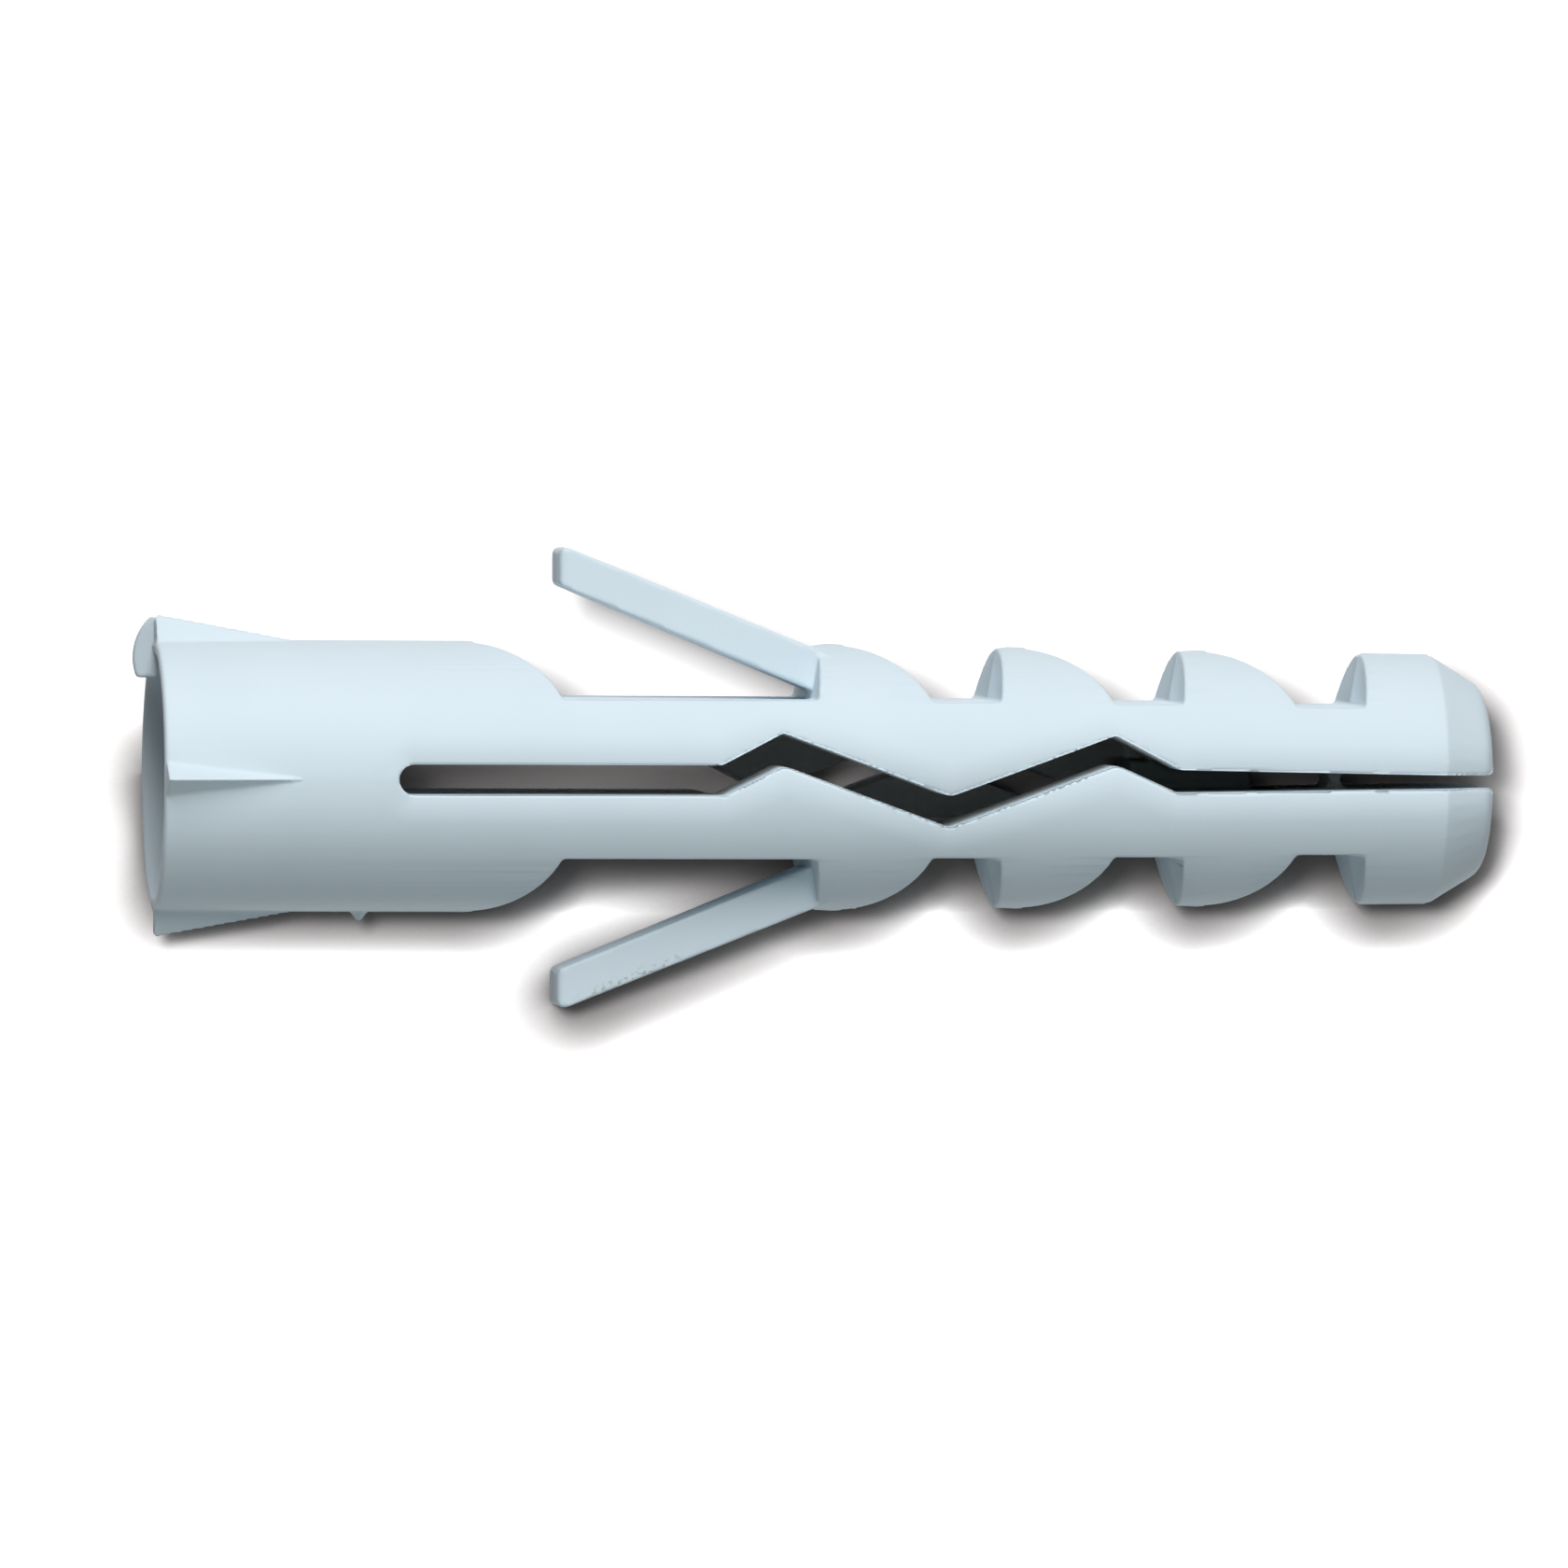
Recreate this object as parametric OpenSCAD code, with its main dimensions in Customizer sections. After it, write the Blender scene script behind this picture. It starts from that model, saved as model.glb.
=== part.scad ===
// Expansion wall plug, moulded in one piece.
// The plug's axis is X, the mouth faces -X and the mouth's centre is the origin.
// The plug lies rolled about X, as it comes to rest on one fin and one wing.

/* [Body] */
// Length from the mouth's face to the end of the tip
plug_length = 39.9; // [39.2:0.1:42]
// Diameter of the plain round part behind the mouth
body_diameter = 8; // [7.7:0.02:8.3]
// Diameter of the round stretch just before the tip's chamfer
tip_diameter = 7.41; // [7.1:0.02:7.6]
// Length of the plain round part, up to the first ramp
plain_length = 9.2; // [8.4:0.1:9.8]
// Distance from the mouth to where the round body starts to taper
taper_start = 16; // [14:0.2:18]
// Length of the tip's chamfer along the axis
chamfer_length = 1.56; // [1.3:0.02:1.9]
// Angle of the tip's chamfer to the axis
chamfer_angle = 31.5; // [25:0.5:38]
// Rounding where the chamfer meets the end face
tip_rounding = 0.7; // [0.4:0.02:0.9]
// Rounding of the mouth's outer edge
mouth_rounding = 0.13; // [0.05:0.01:0.25]

/* [Teeth] */
// Distance from the mouth to the foot of the first step
first_step = 19.5; // [18.7:0.01:19.6]
// Spacing of the four steps
tooth_pitch = 5.48; // [5.3:0.01:5.55]
// Radius of the rounded ramps that run down to the necks
ramp_radius = 3; // [2.8:0.02:3.4]
// Length of a tooth's crest, from the foot of its step to the start of its ramp
crest_length = 0.76; // [0.6:0.01:1.1]
// How far a step leans towards the tip between its foot and its crest
step_lean = 0.25; // [0:0.01:0.4]
// Size across the flats of the first neck
neck_1 = 4.7; // [4.5:0.01:5.2]
// Size across the flats of the second neck
neck_2 = 4.62; // [4.4:0.01:5.1]
// Size across the flats of the third neck
neck_3 = 4.54; // [4.4:0.01:5]
// Size across the flats of the fourth neck
neck_4 = 4.38; // [4.2:0.01:4.9]

/* [Slot] */
// Distance from the mouth to the slot's round end
slot_start = 6.94; // [6.2:0.02:7.6]
// Width of the slot's straight part
slot_width = 0.9; // [0.7:0.01:1]
// Distance from the mouth to the start of the zigzag
zigzag_start = 16.55; // [15.6:0.05:16.9]
// Length of the zigzag's first and last slopes
zigzag_lead = 1.85; // [1.6:0.05:2.1]
// Length of each slope between two bends
zigzag_step = 4.98; // [4.7:0.01:5.05]
// Distance of the bends from the middle plane
zigzag_swing = 0.92; // [0.75:0.01:0.98]
// Width across the slot at its first bend
bend_gap_first = 0.97; // [0.85:0.01:1.05]
// Width across the slot at its last bend
bend_gap_last = 0.87; // [0.75:0.01:0.95]
// Width of the slot just after the zigzag
tail_gap = 0.68; // [0.5:0.01:0.8]
// Width of the slot at the tip
tip_gap = 0.355; // [0.25:0.005:0.5]
// Rounding of the legs' inner corners at the tip
leg_rounding = 0.2; // [0.05:0.01:0.3]
// Rounding of the two inward peaks of a leg
peak_rounding = 0.45; // [0.1:0.05:0.8]

/* [Bore] */
// Diameter of the funnel at the mouth
funnel_diameter = 7.32; // [6.9:0.02:7.5]
// Depth of the funnel
funnel_depth = 3; // [2.4:0.1:3.4]
// Diameter of the wide bore
bore_diameter = 4.4; // [4:0.05:4.8]
// Distance from the mouth to the end of the wide bore
bore_end = 8; // [7.6:0.1:8.4]
// Diameter of the narrow bore between the legs
pilot_diameter = 2.4; // [2.2:0.05:2.7]
// Distance from the mouth to the start of the narrow bore
pilot_start = 12; // [11.4:0.1:12.4]
// How far before the zigzag's end the narrow bore stops
pilot_stop = 1; // [0.6:0.05:1.3]

/* [Webs] */
// Length of the web that joins the legs, counted from the zigzag's end
web_length = 2.6; // [2:0.05:3]
// Size of both webs through the plug
web_depth = 2; // [1.5:0.1:3.5]
// Distance from the tip's end to the middle of the break tie
tie_from_tip = 4.55; // [4.4:0.02:5]
// Length of the break tie where it meets the legs
tie_length = 0.9; // [0.6:0.02:1.1]
// Length of the break tie at its waist
tie_waist = 0.3; // [0.15:0.01:0.5]

/* [Fins] */
// Height of the fins over the body at the mouth
fin_height = 0.78; // [0.5:0.01:1]
// Width of the fins on the body at the mouth
fin_width = 0.95; // [0.8:0.01:1.4]
// Length over which the fins run out
fin_length = 4.2; // [3.6:0.05:4.8]

/* [Wings] */
// Distance from the mouth to the wings' ends
wing_end = 11.98; // [11.4:0.01:12.6]
// Angle of the wings' inner faces to the axis
wing_angle = 22.3; // [19:0.1:24]
// Height of a wing's inner face over the axis at the first step
wing_root = 2.64; // [2.5:0.01:2.9]
// Thickness of the wings at their ends, measured square to the axis
wing_end_thickness = 1.22; // [1:0.01:1.35]
// How far the wings' outer faces lie under the crest at the first step
wing_top_drop = 0.04; // [0.02:0.01:0.2]
// Size of the wings through the plug at their ends
wing_end_depth = 2.25; // [1.8:0.01:2.6]
// Size of the wings through the plug at the first step
wing_root_depth = 2.9; // [2.7:0.01:3.3]
// Rounding of the wings' end corners
wing_rounding = 0.22; // [0.1:0.01:0.35]

/* [Moulding marks] */
// How far the gate tab stands out of the mouth
tab_reach = 0.56; // [0.3:0.01:0.7]
// Height of the tab's lower edge over the axis
tab_low = 2.9; // [2.8:0.01:3.3]
// Height of the tab's upper edge over the axis
tab_high = 4.7; // [4.3:0.01:4.74]
// Width of the gate tab where it leaves the mouth
tab_width = 1.5; // [1.2:0.05:2]
// Width of the gate tab at its outer edge
tab_edge_width = 0.35; // [0.2:0.05:0.8]
// Rounding of the gate tab's lower outer corner
tab_rounding = 0.2; // [0.1:0.01:0.3]
// Distance from the mouth to the nub under the body
body_nub_at = 6.15; // [5.6:0.01:6.5]
// Radius of the foot of the nub under the body
body_nub_radius = 0.3; // [0.2:0.01:0.36]
// How far the nub stands out of the body
body_nub_height = 0.26; // [0.15:0.01:0.35]
// Distance from the first step to the nub under the first tooth
tooth_nub_from_step = 1.5; // [1.35:0.01:1.6]
// Radius of the nub under the first tooth
tooth_nub_radius = 0.14; // [0.1:0.01:0.18]

/* [Hidden] */
$fn = 96;
body_r = body_diameter / 2;
tip_r = tip_diameter / 2;
bore_r = bore_diameter / 2;
pilot_r = pilot_diameter / 2;
beyond = 2;
clear = body_r + fin_height + beyond;
chamfer_start = plug_length - chamfer_length;
end_r = tip_r - chamfer_length * tan(chamfer_angle);
step_at = [for (i = [0:3]) first_step + i * tooth_pitch];
neck_half = [neck_1 / 2, neck_2 / 2, neck_3 / 2, neck_4 / 2];
// How far a ramp's circle stands over the crest, so that it cuts in at a clean angle
ramp_over = 0.03;
ramp_from = [plain_length, for (i = [0:2]) step_at[i] + crest_length];
zigzag_x = [for (i = [0:2]) zigzag_start + zigzag_lead + i * zigzag_step];
zigzag_end = zigzag_x[2] + zigzag_lead;
bend_gap_mid = (bend_gap_first + bend_gap_last) / 2;
pilot_end = zigzag_end - pilot_stop;
// How far the two halves of the slot run past the middle plane
slot_overlap = 0.2;
tie_at = plug_length - tie_from_tip;
wing_rise = tan(wing_angle);
wing_low_end = wing_root + (first_step - wing_end) * wing_rise;
wing_reach = wing_low_end + wing_end_thickness;
wing_top_root = crest_r(first_step) - wing_top_drop;
wing_bury = 0.9;
wing_top_rise = (wing_reach - wing_top_root) / (first_step - wing_end);
wing_depth_run = (wing_root_depth - wing_end_depth) / (first_step - wing_end);
// The plug rests on the rear fin's tip, the end of the lower wing and the tip's round edge.
// These give the roll at which one flat surface touches all three.
rest_share = wing_end / chamfer_start;
rest_drop = (body_r + fin_height) * (1 - rest_share) - wing_end_depth / 2;
rest_roll = atan(rest_drop / wing_reach)
    + asin(rest_share * tip_r / norm([rest_drop, wing_reach]));

function unit(v) = v / norm(v);

// Radius of the turned body at a distance from the mouth
function crest_r(x) =
    x < taper_start
        ? body_r
        : body_r - (body_r - tip_r) * (x - taper_start) / (chamfer_start - taper_start);

// Points of the rounded corner at b between a and c
function round_corner(a, b, c, r, n) =
    let (
        u = unit(a - b),
        w = unit(c - b),
        half = acos(u * w) / 2,
        centre = b + unit(u + w) * r / sin(half),
        p = b + u * r / tan(half) - centre,
        q = b + w * r / tan(half) - centre
    )
    [for (i = [0:n]) centre + r * unit(p * (1 - i / n) + q * i / n)];

// A closed outline, each corner rounded by its own radius
function rounded(points, radii, n = 5) =
    let (count = len(points))
    [for (i = [0:count - 1]) each radii[i] > 0
        ? round_corner(points[(i + count - 1) % count], points[i],
            points[(i + 1) % count], radii[i], n)
        : [points[i]]];

// Turns a shape made about Z so that it lies about X
module on_axis() {
    rotate([0, 90, 0]) children();
}

// Places a shape above the axis and once more below it
module above_and_below() {
    children();
    rotate([180, 0, 0]) children();
}

// The round blank, before the teeth and the slot are formed
module blank() {
    outline = rounded(
        [[0, 0], [body_r, 0], [body_r, taper_start], [tip_r, chamfer_start],
            [end_r, plug_length], [0, plug_length]],
        [0, mouth_rounding, 0, 0, tip_rounding, 0]);
    on_axis() rotate_extrude() polygon(outline);
}

// The space over a neck: a rounded ramp down, the flat, and the next step
module neck_space(i) {
    crest = crest_r(ramp_from[i]);
    floor_at = neck_half[i];
    rise = crest_r(step_at[i]) - floor_at;
    lean = step_lean / rise;
    top = clear - floor_at;
    translate([0, 0, -clear]) linear_extrude(height = 2 * clear) difference() {
        polygon([[ramp_from[i], floor_at], [step_at[i], floor_at],
            [step_at[i] + lean * top, clear], [ramp_from[i], clear]]);
        translate([ramp_from[i], crest + ramp_over - ramp_radius]) circle(r = ramp_radius);
    }
}

// One wing, swept back towards the mouth from the first step
module wing() {
    root_x = first_step + wing_bury;
    low_root = wing_root - wing_bury * wing_rise;
    high_root = wing_top_root - wing_bury * wing_top_rise;
    side = rounded(
        [[wing_end, wing_low_end], [root_x, low_root], [root_x, high_root],
            [wing_end, wing_reach]],
        [wing_rounding, 0, 0, wing_rounding]);
    end_half = wing_end_depth / 2;
    root_half = wing_root_depth / 2 + wing_bury * wing_depth_run / 2;
    plan = rounded(
        [[wing_end, -end_half], [root_x, -root_half], [root_x, root_half],
            [wing_end, end_half]],
        [wing_rounding, 0, 0, wing_rounding]);
    intersection() {
        translate([0, 0, -clear]) linear_extrude(height = 2 * clear) polygon(side);
        rotate([90, 0, 0]) translate([0, 0, -3 * clear]) linear_extrude(height = 6 * clear)
            polygon(plan);
    }
}

// One fin over the body, its ridge running down to the body's surface
module fin() {
    sunk = 0.2;
    ridge = body_r + fin_height;
    spread = fin_width / 2 * (fin_height + sunk) / fin_height;
    slope = atan(fin_height / fin_length);
    lead = 0.1;
    intersection() {
        translate([0, ridge, 0]) rotate([0, 0, -slope]) rotate([0, 90, 0])
            translate([0, 0, -1]) linear_extrude(height = fin_length + 3)
                polygon([[0, 0], [spread, -fin_height - sunk], [-spread, -fin_height - sunk]]);
        translate([0, 0, -1.5]) linear_extrude(height = 3)
            polygon([[0.06, body_r - 1], [fin_length + 0.4, body_r - 1],
                [fin_length + 0.4, ridge], [0.06 + lead, ridge], [0.06, ridge - lead]]);
    }
}

// The funnel, the wide bore and the narrow bore, as one cut
module bore_space() {
    ahead = 0.5;
    flare = (funnel_diameter / 2 - bore_r) / funnel_depth;
    on_axis() rotate_extrude()
        polygon([[0, -ahead], [funnel_diameter / 2 + flare * ahead, -ahead],
            [bore_r, funnel_depth], [bore_r, bore_end], [pilot_r, pilot_start],
            [pilot_r, pilot_end], [0, pilot_end]]);
}

// The slot in one side of the plug, drawn as its upper and lower edges
module slot_half() {
    half = slot_width / 2;
    s = zigzag_swing;
    x = zigzag_x;
    g = [bend_gap_first / 2, bend_gap_mid / 2, bend_gap_last / 2];
    r = peak_rounding;
    edges = rounded(
        [[slot_start + half, -half], [zigzag_start + 0.08, -half], [x[0], s - g[0]],
            [x[1], -s - g[1]], [x[2], s - g[2]], [zigzag_end, -tail_gap / 2],
            [plug_length, -tip_gap / 2], [plug_length + 0.02, -tip_r], [plug_length + 0.5, 0],
            [plug_length + 0.02, tip_r], [plug_length, tip_gap / 2],
            [zigzag_end + 0.08, tail_gap / 2], [x[2], s + g[2]], [x[1], -s + g[1]],
            [x[0], s + g[0]], [zigzag_start, half], [slot_start + half, half]],
        [0, 0, r, 0.12, r, 0.12, leg_rounding, 0, 0, 0, leg_rounding, 0.12, 0.12, r,
            0.12, 0.12, 0]);
    translate([0, 0, -slot_overlap]) linear_extrude(height = clear) {
        polygon(edges);
        translate([slot_start + half, 0]) circle(r = half);
    }
}

// The slots of both sides; each is the other turned half round the axis
module slot_space() {
    slot_half();
    rotate([180, 0, 0]) slot_half();
}

// The web and the break tie that hold the legs together near the tip
module webs() {
    grip = tail_gap / 2 + 0.2;
    depth = web_depth;
    translate([pilot_end - 0.05, -grip, -depth / 2])
        cube([zigzag_end + web_length - pilot_end + 0.05, 2 * grip, depth]);
    translate([tie_at, 0, -depth / 2]) linear_extrude(height = depth)
        polygon([[-tie_length / 2, -grip], [tie_length / 2, -grip], [tie_waist / 2, 0],
            [tie_length / 2, grip], [-tie_length / 2, grip], [-tie_waist / 2, 0]]);
}

// The gate tab on the mouth's edge, beside the upper fin: bowed outside and thinning outwards
module gate_tab() {
    seat = 0.12;
    bow_from = tab_low + (tab_high - tab_low) / 3;
    bow_r = (tab_reach ^ 2 + (tab_high - bow_from) ^ 2) / (2 * tab_reach);
    side = rounded(
        [[seat, tab_low], [seat, tab_high], [-tab_reach, tab_high], [-tab_reach, tab_low]],
        [0, 0, 0, tab_rounding]);
    middle = -tab_width / 2;
    edge = tab_edge_width / 2;
    intersection() {
        translate([0, 0, -tab_width]) linear_extrude(height = tab_width) intersection() {
            polygon(side);
            translate([bow_r - tab_reach, bow_from]) circle(r = bow_r);
        }
        rotate([90, 0, 0]) translate([0, 0, -clear]) linear_extrude(height = clear)
            polygon([[seat, 0], [-tab_reach, middle + edge], [-tab_reach, middle - edge],
                [seat, -tab_width]]);
    }
}

// The two small nubs on the lower parting line
module nubs() {
    tooth_nub_at = first_step + tooth_nub_from_step;
    sunk = 0.1;
    translate([body_nub_at, sunk - body_r, 0]) rotate([90, 0, 0])
        cylinder(h = body_nub_height + sunk, r1 = body_nub_radius, r2 = 0.07);
    translate([tooth_nub_at, tooth_nub_radius * 0.4 - crest_r(tooth_nub_at), 0])
        sphere(r = tooth_nub_radius);
}

// The whole plug in its own position, before it is rolled to rest
module moulding() {
    difference() {
        union() {
            difference() {
                blank();
                for (i = [0:3]) above_and_below() neck_space(i);
            }
            above_and_below() wing();
            for (turn = [0:3]) rotate([90 * turn, 0, 0]) fin();
            nubs();
        }
        bore_space();
        slot_space();
    }
    webs();
    gate_tab();
}

// The wall plug, rolled about its axis as it lies at rest
module wall_plug() {
    color([0.82, 0.88, 0.91]) rotate([rest_roll, 0, 0]) moulding();
}

wall_plug();
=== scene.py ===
import bpy
import numpy as np
from math import radians, sin, cos
from mathutils import Matrix, Vector


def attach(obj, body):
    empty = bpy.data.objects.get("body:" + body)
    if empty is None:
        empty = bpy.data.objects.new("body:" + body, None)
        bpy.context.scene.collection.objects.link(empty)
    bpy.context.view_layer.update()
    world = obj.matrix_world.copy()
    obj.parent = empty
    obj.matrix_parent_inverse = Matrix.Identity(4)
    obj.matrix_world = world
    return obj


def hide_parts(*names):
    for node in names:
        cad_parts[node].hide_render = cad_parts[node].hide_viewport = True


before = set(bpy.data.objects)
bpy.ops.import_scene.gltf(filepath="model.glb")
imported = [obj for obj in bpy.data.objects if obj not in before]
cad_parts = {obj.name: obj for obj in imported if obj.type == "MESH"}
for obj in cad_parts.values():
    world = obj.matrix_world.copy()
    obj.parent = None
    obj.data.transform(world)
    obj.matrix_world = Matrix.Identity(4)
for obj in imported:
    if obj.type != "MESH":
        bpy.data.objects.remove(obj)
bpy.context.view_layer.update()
print("frame loaded")

restRoll = 26.4484  # how far the plug is rolled about its axis, in degrees
rollTurn = Matrix.Rotation(radians(restRoll), 4, "X")
unrollTurn = rollTurn.inverted()


def deselectAll():
    if bpy.context.object and bpy.context.object.mode != "OBJECT":
        bpy.ops.object.mode_set(mode="OBJECT")
    bpy.ops.object.select_all(action="DESELECT")


def pick(thing):
    deselectAll()
    thing.select_set(True)
    bpy.context.view_layer.objects.active = thing


def applyModifier(thing, modifier):
    pick(thing)
    bpy.ops.object.modifier_apply(modifier=modifier.name)


# The plug is worked on in millimetres and unrolled, with its axis along X.

plugValues = {
    "mergeWithin": 0.0005,
    "voxel": 0.06,
    "quickVoxel": 0.11,
    "softPasses": 3,
    "softAmount": 0.5,
    "mostTriangles": 176000,
    "bodyRadius": 4.0,
    "taperStart": 16.0,
    "taperLength": 22.34,
    "taperDrop": 0.295,
    "trueUnder": (0.08, 0.06),  # how far under the body's radius a point still counts
    "trueOver": (0.02, 0.01),
    "trueFacing": (0.9, 0.95),
    "trueFrom": 0.25,
    "trueShortOf": 0.15,
    "slotEdges": [  # the slot's lower and upper edge on the near side
        [(7.39, -0.45), (16.63, -0.45), (18.4, 0.435), (23.38, -1.38), (28.36, 0.485),
         (30.21, -0.34), (39.9, -0.178)],
        [(7.39, 0.45), (16.55, 0.45), (18.4, 1.405), (23.38, -0.46), (28.36, 1.355),
         (30.29, 0.34), (39.9, 0.178)],
    ],
    "edgeEaseWidth": 0.9,
    "edgeEaseDepth": 0.11,
    "edgeEaseAbove": 2.4,
    "edgeEaseFacing": 0.3,
    "rampRadius": 3.0,
    "rampStarts": [9.2, 20.26, 25.74, 31.22],
    "rampFacing": (0.1, 0.3),
    "rampFade": (2.4, 1.6),
    "rampMostCut": 0.08,
    "stepStarts": [19.5, 24.98, 30.46, 35.94],
    "stepLean": 0.25,
    "stepReach": (0.08, 0.06),
    "stepFacing": (-0.85, -0.93),
    "stepFoot": 0.12,
    "neckHalves": [2.35, 2.31, 2.27, 2.19],
    "partingHeight": 0.035,
    "partingHalfWidth": 0.07,
    "partingOutside": 1.9,
    "partingLevel": 0.12,  # most slope along the plug that still carries the line
    "partingUpright": 0.95,
    "finsEnd": 7,
    "wideBoreEnd": 12,
    "wideBoreRadius": 3.9,
}


def copyOfNode(name):
    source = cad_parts[name]
    plug = bpy.data.objects.new("plug_moulding", source.data.copy())
    bpy.context.scene.collection.objects.link(plug)
    plug.data.materials.clear()
    plug.matrix_world = unrollTurn @ Matrix.Diagonal((1000, 1000, 1000, 1))
    pick(plug)
    bpy.ops.object.transform_apply(location=True, rotation=True, scale=True)
    bpy.ops.object.mode_set(mode="EDIT")
    bpy.ops.mesh.select_all(action="SELECT")
    bpy.ops.mesh.remove_doubles(threshold=plugValues["mergeWithin"])
    bpy.ops.object.mode_set(mode="OBJECT")
    return plug


def soften(plug, values):
    remesh = plug.modifiers.new("Remesh", "REMESH")
    remesh.mode = "VOXEL"
    remesh.voxel_size = values["voxel"]
    applyModifier(plug, remesh)
    smooth = plug.modifiers.new("Smooth", "SMOOTH")
    smooth.factor = values["softAmount"]
    smooth.iterations = values["softPasses"]
    applyModifier(plug, smooth)


def pointsOf(plug):
    co = np.empty(len(plug.data.vertices) * 3)
    plug.data.vertices.foreach_get("co", co)
    normal = np.empty(len(plug.data.vertices) * 3)
    plug.data.vertices.foreach_get("normal", normal)
    return co.reshape(-1, 3), normal.reshape(-1, 3)


def putPoints(plug, co):
    plug.data.vertices.foreach_set("co", co.ravel())
    plug.data.update()


def fade(value, limits):  # 0 at the first limit, 1 at the second
    return np.clip((value - limits[0]) / (limits[1] - limits[0]), 0, 1)


def toLine(flat, line):  # how far flat points lie from a bent line
    best = np.full(len(flat), 1e9)
    for start, end in zip(line[:-1], line[1:]):
        a, b = np.array(start), np.array(end)
        along = np.clip((flat - a) @ (b - a) / ((b - a) @ (b - a)), 0, 1)
        best = np.minimum(best, np.linalg.norm(flat - a - along[:, None] * (b - a), axis=1))
    return best


def bodyRadiusAt(x, values):
    taper = np.clip((x - values["taperStart"]) / values["taperLength"], 0, 1)
    return values["bodyRadius"] - taper * values["taperDrop"]


def trueUp(plug, values):  # takes the flats of the frame's mesh out of the round body
    co, normal = pointsOf(plug)
    radius = np.maximum(np.hypot(co[:, 1], co[:, 2]), 0.01)
    wanted = bodyRadiusAt(co[:, 0], values)
    outward = (normal[:, 1] * co[:, 1] + normal[:, 2] * co[:, 2]) / radius
    share = fade(wanted - radius, values["trueUnder"])
    share *= fade(radius - wanted, values["trueOver"])
    share *= fade(outward, values["trueFacing"])
    end = values["taperStart"] + values["taperLength"] - values["trueShortOf"]
    share *= (co[:, 0] > values["trueFrom"]) & (co[:, 0] < end)
    grow = 1 + share * (wanted / radius - 1)
    co[:, 1] *= grow
    co[:, 2] *= grow
    putPoints(plug, co)


def flattenSteps(plug, values):  # the leaning faces in front of the four necks
    co, normal = pointsOf(plug)
    high = np.abs(co[:, 1])
    for start, neck in zip(values["stepStarts"], values["neckHalves"]):
        lean = values["stepLean"] / (bodyRadiusAt(start, values) - neck)
        wanted = start + lean * (high - neck)
        share = fade(np.abs(co[:, 0] - wanted), values["stepReach"])
        share *= fade(normal[:, 0], values["stepFacing"]) * (high > neck + values["stepFoot"])
        co[:, 0] += share * (wanted - co[:, 0])
    putPoints(plug, co)


def roundCrests(plug, values):  # lets each crest run into its ramp without a corner
    co, normal = pointsOf(plug)
    high, side = np.abs(co[:, 1]), np.sign(co[:, 1])
    radius = values["rampRadius"]
    for start in values["rampStarts"]:
        along = co[:, 0] - start
        bend = radius - np.sqrt(radius ** 2 - np.clip(along, 0, radius) ** 2)
        over = high - (bodyRadiusAt(start, values) - bend)
        cut = np.clip(over, 0, values["rampMostCut"]) * (along > 0)
        cut *= fade(along, values["rampFade"]) * fade(normal[:, 1] * side, values["rampFacing"])
        co[:, 1] -= side * cut
    putPoints(plug, co)


def easeSlotEdges(plug, values):
    co, normal = pointsOf(plug)
    side = np.sign(co[:, 2])
    flat = np.column_stack([co[:, 0], co[:, 1] * side])
    away = np.minimum(*(toLine(flat, line) for line in values["slotEdges"]))
    outer = np.abs(co[:, 2]) > values["edgeEaseAbove"]
    outer &= normal[:, 2] * side > values["edgeEaseFacing"]
    share = np.clip(1 - away / values["edgeEaseWidth"], 0, 1) ** 2
    co[outer, 2] -= (side * share * values["edgeEaseDepth"])[outer]
    putPoints(plug, co)


def thin(plug, values):
    triangles = sum(len(p.vertices) - 2 for p in plug.data.polygons)
    print("triangles before thinning", triangles)
    if triangles > values["mostTriangles"]:
        thinner = plug.modifiers.new("Decimate", "DECIMATE")
        thinner.ratio = values["mostTriangles"] / triangles
        applyModifier(plug, thinner)


def raisePartingLine(plug, values):
    pick(plug)
    bpy.ops.object.mode_set(mode="EDIT")
    for height in (-values["partingHalfWidth"], 0, values["partingHalfWidth"]):
        bpy.ops.mesh.select_all(action="SELECT")
        bpy.ops.mesh.bisect(plane_co=(0, 0, height), plane_no=(0, 0, 1))
    bpy.ops.object.mode_set(mode="OBJECT")
    co, normal = pointsOf(plug)
    high, along = np.abs(co[:, 1]), np.abs(normal[:, 0])
    onLine = (high > values["partingOutside"]) & (np.abs(co[:, 2]) < 0.001)
    inBore = (co[:, 0] < values["wideBoreEnd"]) & (high < values["wideBoreRadius"])
    inBore &= normal[:, 1] * co[:, 1] < 0
    # left off the ramps and the wings' sloping faces
    plain = (along < values["partingLevel"]) | (along > values["partingUpright"])
    raised = onLine & ~inBore & (plain | (co[:, 0] < values["finsEnd"]))
    co[raised] += normal[raised] * values["partingHeight"]
    putPoints(plug, co)


def layDown(plug):
    plug.matrix_world = Matrix.Diagonal((0.001, 0.001, 0.001, 1)) @ rollTurn
    pick(plug)
    bpy.ops.object.transform_apply(location=True, rotation=True, scale=True)
    bpy.ops.object.shade_smooth()


plug = copyOfNode("wall_plug")
soften(plug, plugValues)
trueUp(plug, plugValues)
flattenSteps(plug, plugValues)
roundCrests(plug, plugValues)
easeSlotEdges(plug, plugValues)
thin(plug, plugValues)
raisePartingLine(plug, plugValues)
layDown(plug)
print("plug shaped", len(plug.data.polygons))

# A zone is the width and depth at which it fades out, and where it begins and ends along X.

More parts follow.
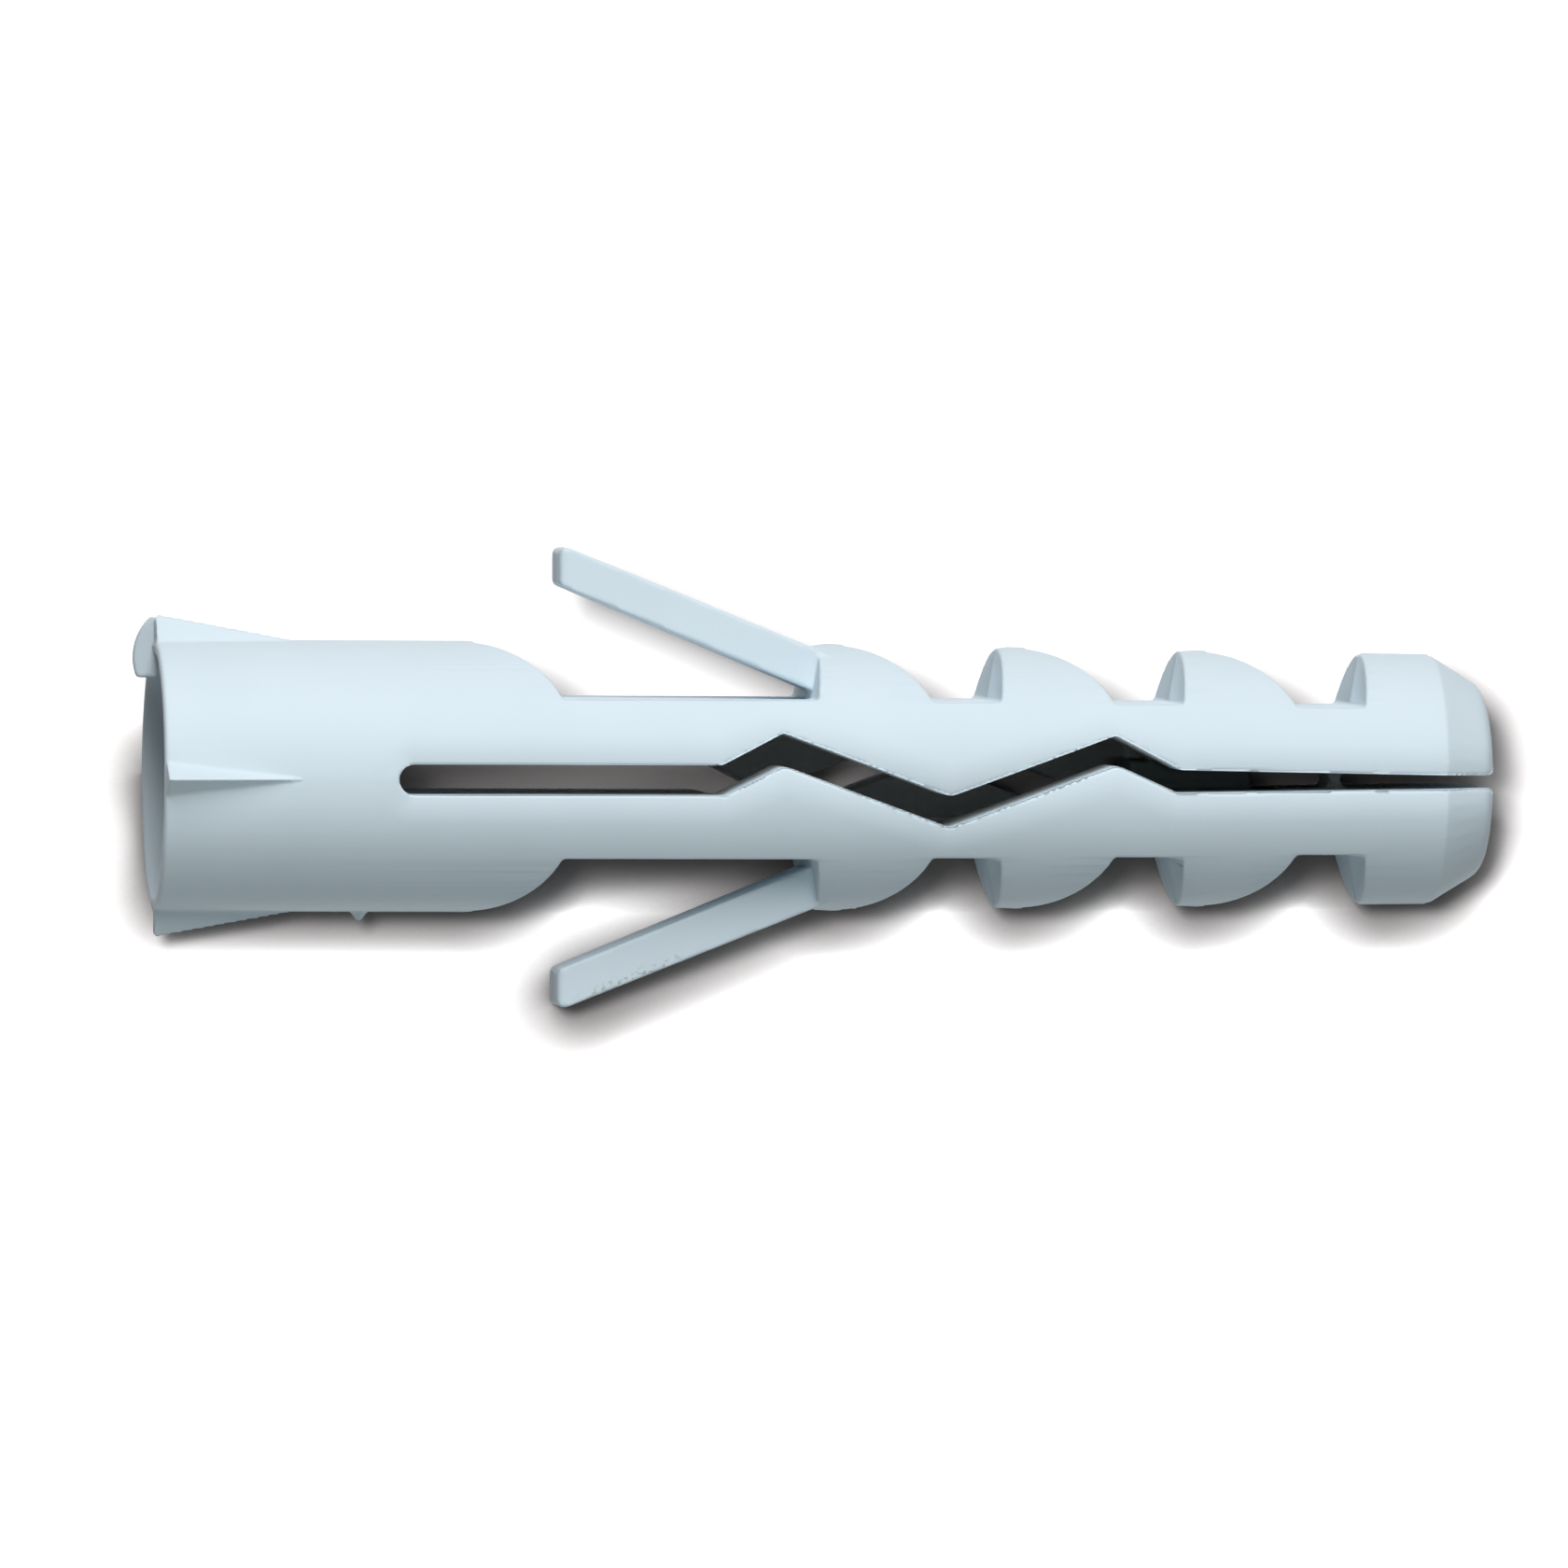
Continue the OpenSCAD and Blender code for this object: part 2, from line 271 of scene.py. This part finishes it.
nylonValues = {
    "pale": (0.68, 0.785, 0.85, 1),
    "deep": (0.645, 0.75, 0.815, 1),
    "cloudScale": 0.45,
    # painted shade: a greyer, slightly darker tone for the surfaces inside the slot, where
    # little light reaches
    "slotPaintedShade": (0.66, 0.67, 0.66, 1),
    "slotPaintedShadeZone": ((1.75, 1.6), (2.95, 2.7), (7, 8), (38.2, 37.8)),
    # painted shade: a near-black tone for the web that lies deep between the legs
    "webPaintedShade": (0.1, 0.12, 0.12, 1),
    "webPaintedShadeZone": ((0.7, 0.55), (1.9, 1.5), (28.4, 29.4), (33.9, 33.5)),
    "rubbed": (0.34, 0.35, 0.33, 1),
    "rubbedShare": 0.7,
    "rubbedFade": (0.42, 0.12),  # distance from the lower wing's outer edge
    "rubbedHeight": (0.8, 1.0),
    "rubbedStart": (12.2, 13.6),
    "rubbedEnd": (16.4, 14.8),
    "speckScale": 6.5,
    "speckLimits": (0.5, 0.66),
    "wingSlope": 0.4015,
    "wingRise": 11.754,
    "grainScale": 9,
    "grainStrength": 0.12,
    "grainDepth": 0.00002,
    "roughness": 0.52,
    "gloss": 0.1,
    "ior": 1.53,
}


def nylonMaterial(values):
    nylon = bpy.data.materials.new("satinNylon")
    nylon.use_nodes = True
    nodes, links = nylon.node_tree.nodes, nylon.node_tree.links
    shader = nodes["Principled BSDF"]
    place = nodes.new("ShaderNodeTexCoord")
    toMillimetres = nodes.new("ShaderNodeMapping")
    toMillimetres.inputs["Rotation"].default_value = (radians(-restRoll), 0, 0)
    toMillimetres.inputs["Scale"].default_value = (1000, 1000, 1000)
    links.new(place.outputs["Object"], toMillimetres.inputs["Vector"])
    split = nodes.new("ShaderNodeSeparateXYZ")
    links.new(toMillimetres.outputs["Vector"], split.inputs["Vector"])
    x, y, z = (split.outputs[k] for k in "XYZ")

    def noise(scale, detail):
        cloud = nodes.new("ShaderNodeTexNoise")
        cloud.inputs["Scale"].default_value = scale
        cloud.inputs["Detail"].default_value = detail
        links.new(toMillimetres.outputs["Vector"], cloud.inputs["Vector"])
        return cloud.outputs["Fac"]

    def calc(operation, first, second=0.0):
        node = nodes.new("ShaderNodeMath")
        node.operation = operation
        for socket, value in zip(node.inputs, (first, second)):
            if isinstance(value, (int, float)):
                socket.default_value = value
            else:
                links.new(value, socket)
        return node.outputs["Value"]

    def ramp(value, limits):  # 0 at the first limit, 1 at the second
        node = nodes.new("ShaderNodeMapRange")
        node.interpolation_type = "SMOOTHSTEP"
        node.inputs["From Min"].default_value, node.inputs["From Max"].default_value = limits
        links.new(value, node.inputs["Value"])
        return node.outputs["Result"]

    def blend(factor, first, second):
        node = nodes.new("ShaderNodeMix")
        node.data_type = "RGBA"
        links.new(factor, node.inputs["Factor"])
        for socket, value in (("A", first), ("B", second)):
            if isinstance(value, tuple):
                node.inputs[socket].default_value = value
            else:
                links.new(value, node.inputs[socket])
        return node.outputs["Result"]

    def allOf(*shares):
        product = shares[0]
        for share in shares[1:]:
            product = calc("MULTIPLY", product, share)
        return product

    aside, deep = calc("ABSOLUTE", y), calc("ABSOLUTE", z)

    def inZone(width, depth, begin, end):
        return allOf(ramp(aside, width), ramp(deep, depth), ramp(x, begin), ramp(x, end))

    # painted shade: the share of the greyer, darker tone inside the slot
    slotPaintedShadeShare = inZone(*values["slotPaintedShadeZone"])
    # painted shade: the share of the near-black tone on the deep web
    webPaintedShadeShare = inZone(*values["webPaintedShadeZone"])
    # rubbed specks along the outer edge of the lower wing
    fromEdge = calc("ADD", calc("MULTIPLY", x, -values["wingSlope"]),
                    calc("ADD", y, values["wingRise"]))
    rubbed = allOf(ramp(fromEdge, values["rubbedFade"]), ramp(z, values["rubbedHeight"]),
                   ramp(x, values["rubbedStart"]), ramp(x, values["rubbedEnd"]),
                   ramp(noise(values["speckScale"], 5), values["speckLimits"]),
                   values["rubbedShare"])
    colour = blend(noise(values["cloudScale"], 4), values["pale"], values["deep"])
    colour = blend(slotPaintedShadeShare, colour, values["slotPaintedShade"])
    colour = blend(webPaintedShadeShare, colour, values["webPaintedShade"])
    colour = blend(rubbed, colour, values["rubbed"])
    links.new(colour, shader.inputs["Base Color"])
    grain = nodes.new("ShaderNodeBump")
    grain.inputs["Strength"].default_value = values["grainStrength"]
    grain.inputs["Distance"].default_value = values["grainDepth"]
    links.new(noise(values["grainScale"], 3), grain.inputs["Height"])
    links.new(grain.outputs["Normal"], shader.inputs["Normal"])
    shader.inputs["Roughness"].default_value = values["roughness"]
    shader.inputs["Specular IOR Level"].default_value = values["gloss"]
    shader.inputs["IOR"].default_value = values["ior"]
    return nylon


plug.data.materials.append(nylonMaterial(nylonValues))
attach(plug, "root")
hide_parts("wall_plug")
print("nylon ready")

floorValues = {
    "size": 3.0,
    "roughness": 0.9,
    "white": (0.97, 0.945, 0.94, 1),
    "bounce": (0.22, 0.225, 0.225, 1),
    "contactReach": 0.0018,
    "contactDepth": 3.6,
    "contactShade": (0.12, 0.111, 0.108, 1),
}


def restingPlane(thing):  # the flat that the plug lies on, from the hull of its points
    centre = sum((v.co for v in thing.data.vertices), Vector()) / len(thing.data.vertices)
    pick(thing)
    bpy.ops.object.duplicate()
    hull = bpy.context.object
    bpy.ops.object.mode_set(mode="EDIT")
    bpy.ops.mesh.select_all(action="SELECT")
    bpy.ops.mesh.convex_hull()
    bpy.ops.object.mode_set(mode="OBJECT")
    spot, normal = hull.ray_cast(centre, Vector((0, 0, -1)))[1:3]
    bpy.data.objects.remove(hull)
    return spot, normal if normal.z > 0 else -normal


def seenDirectly(nodes, links):  # 1 where the camera, a reflection or clear plastic looks
    ray = nodes.new("ShaderNodeLightPath")
    seen = ray.outputs["Is Camera Ray"]
    for kind in ("Is Glossy Ray", "Is Transmission Ray"):
        either = nodes.new("ShaderNodeMath")
        either.operation = "MAXIMUM"
        links.new(seen, either.inputs[0])
        links.new(ray.outputs[kind], either.inputs[1])
        seen = either.outputs["Value"]
    return seen


def makeFloor(values):
    spot, normal = restingPlane(plug)
    print("floor at", [round(1000 * c, 3) for c in spot], [round(c, 4) for c in normal])
    deselectAll()
    bpy.ops.mesh.primitive_plane_add(size=values["size"], location=spot,
                                     rotation=normal.to_track_quat("Z", "Y").to_euler())
    floor = bpy.context.object
    floor.name = "floor"
    paper = bpy.data.materials.new("whitePaper")
    paper.use_nodes = True
    nodes, links = paper.node_tree.nodes, paper.node_tree.links
    shader = nodes["Principled BSDF"]
    shader.inputs["Roughness"].default_value = values["roughness"]
    shader.inputs["Specular IOR Level"].default_value = 0
    # painted shadow: the paper's colour is darkened where parts of the plug come close to it
    contact = nodes.new("ShaderNodeAmbientOcclusion")  # deepens the shadow under low parts
    contact.inputs["Distance"].default_value = values["contactReach"]
    depth = nodes.new("ShaderNodeMath")
    depth.operation = "POWER"
    depth.inputs[1].default_value = values["contactDepth"]
    links.new(contact.outputs["AO"], depth.inputs[0])
    shade = nodes.new("ShaderNodeMix")
    shade.data_type = "RGBA"
    shade.inputs["A"].default_value = values["contactShade"]
    shade.inputs["B"].default_value = values["white"]
    links.new(depth.outputs["Value"], shade.inputs["Factor"])
    mix = nodes.new("ShaderNodeMix")
    mix.data_type = "RGBA"
    mix.inputs["A"].default_value = values["bounce"]
    links.new(shade.outputs["Result"], mix.inputs["B"])
    links.new(seenDirectly(nodes, links), mix.inputs["Factor"])
    links.new(mix.outputs["Result"], shader.inputs["Base Color"])
    floor.data.materials.append(paper)
    return floor


floor = makeFloor(floorValues)

# Some lamps light only the plug, and some only the paper it lies on. "from" is a direction seen
# from the plug before it is rolled, and a lamp without "aim" faces the middle of the plug.

plugMiddle = (0.019, 0, 0)
lampValues = [
    {"name": "topLamp", "from": (0.02, 0.71, 0.70), "distance": 0.4, "size": (0.12, 0.42),
     "power": 1.36, "tint": (1, 1, 1), "lights": "plug"},
    {"name": "mouthLamp", "from": (-0.19, 0.7, 0.69), "distance": 0.4, "size": (0.08, 0.42),
     "power": 0.52, "tint": (1, 1, 1), "lights": "plug"},
    {"name": "fillLamp", "from": (0.04, -0.55, 0.83), "distance": 0.5, "size": (0.12, 0.35),
     "power": 0.44, "tint": (0.88, 1, 1), "lights": "plug"},
    {"name": "paperLamp", "from": (-0.24, 0.14, 0.96), "distance": 0.6, "size": (0.1, 0.1),
     "power": 3.85, "tint": (1, 1, 1), "lights": "floor"},
    {"name": "paperLowLamp", "from": (-0.127, -0.12, 0.985), "distance": 0.6,
     "size": (0.12, 0.1), "power": 0.3, "tint": (1, 1, 1), "lights": "floor"},
    {"name": "paperSoftLamp", "from": (-0.23, 0.02, 0.97), "distance": 0.6, "size": (0.3, 0.05),
     "power": 1.0, "tint": (1, 1, 1), "lights": "floor"},
    # the slot's own light, for the paper that shows through it
    {"name": "slotLamp", "from": (-0.127, 0.026, 0.99), "distance": 0.0, "size": (0.01, 0.0006),
     "aim": (0.0137, 0, 0), "power": 0.00025, "tint": (1, 1, 1), "lights": "floor"},
]


def lightOnly(lamp, thing):
    seen = bpy.data.collections.new(lamp.name + "Lights")
    seen.objects.link(thing)
    lamp.light_linking.receiver_collection = seen


def addLamp(values):
    toLamp = (rollTurn @ Vector(values["from"])).normalized()
    spot = toLamp * values["distance"] + Vector(values.get("aim", plugMiddle))
    bpy.ops.object.light_add(type="AREA", location=spot)
    lamp = bpy.context.object
    lamp.name = values["name"]
    lamp.rotation_euler = toLamp.to_track_quat("Z", "Y").to_euler()
    lamp.data.energy = values["power"]
    lamp.data.shape = "RECTANGLE"
    lamp.data.size, lamp.data.size_y = values["size"]
    lamp.data.color = values["tint"]
    lightOnly(lamp, {"plug": plug, "floor": floor}[values["lights"]])


for values in lampValues:
    addLamp(values)


worldValues = {"seen": 1.0, "light": 0.03}


def makeWorld(values):
    world = bpy.data.worlds.new("studio")
    bpy.context.scene.world = world
    world.use_nodes = True
    nodes, links = world.node_tree.nodes, world.node_tree.links
    back = nodes["Background"]
    back.inputs["Color"].default_value = (1, 1, 1, 1)
    level = nodes.new("ShaderNodeMapRange")
    level.inputs["To Min"].default_value = values["light"]
    level.inputs["To Max"].default_value = values["seen"]
    links.new(seenDirectly(nodes, links), level.inputs["Value"])
    links.new(level.outputs["Result"], back.inputs["Strength"])


makeWorld(worldValues)

cameraValues = {
    "lens": 384.96,
    "sensor": 36,
    "clip": (0.01, 10),
    "distance": 500,
    "yaw": 7.3,
    "lift": 1.5,
    "tilt": 0.35,
    "target": (18.877, -0.198, 0),
}


def addCamera(values):
    yaw, lift, tilt = (radians(values[k]) for k in ("yaw", "lift", "tilt"))
    toEye = Vector((-sin(yaw) * cos(lift), sin(lift), cos(yaw) * cos(lift)))
    up = (Vector((0, 1, 0)) - toEye * toEye.y).normalized()
    right = up.cross(toEye)
    right, up = right * cos(tilt) + up * sin(tilt), up * cos(tilt) - right * sin(tilt)
    turn = Matrix((right, up, toEye)).transposed().to_4x4()
    spot = (Vector(values["target"]) + toEye * values["distance"]) * 0.001
    bpy.ops.object.camera_add()
    camera = bpy.context.object
    camera.name = "shotCamera"
    camera.matrix_world = rollTurn @ Matrix.Translation(spot) @ turn
    camera.data.lens = values["lens"]
    camera.data.sensor_width = values["sensor"]
    camera.data.clip_start, camera.data.clip_end = values["clip"]
    bpy.context.scene.camera = camera


addCamera(cameraValues)
bpy.context.scene.view_settings.view_transform = "Standard"
print("stage ready")
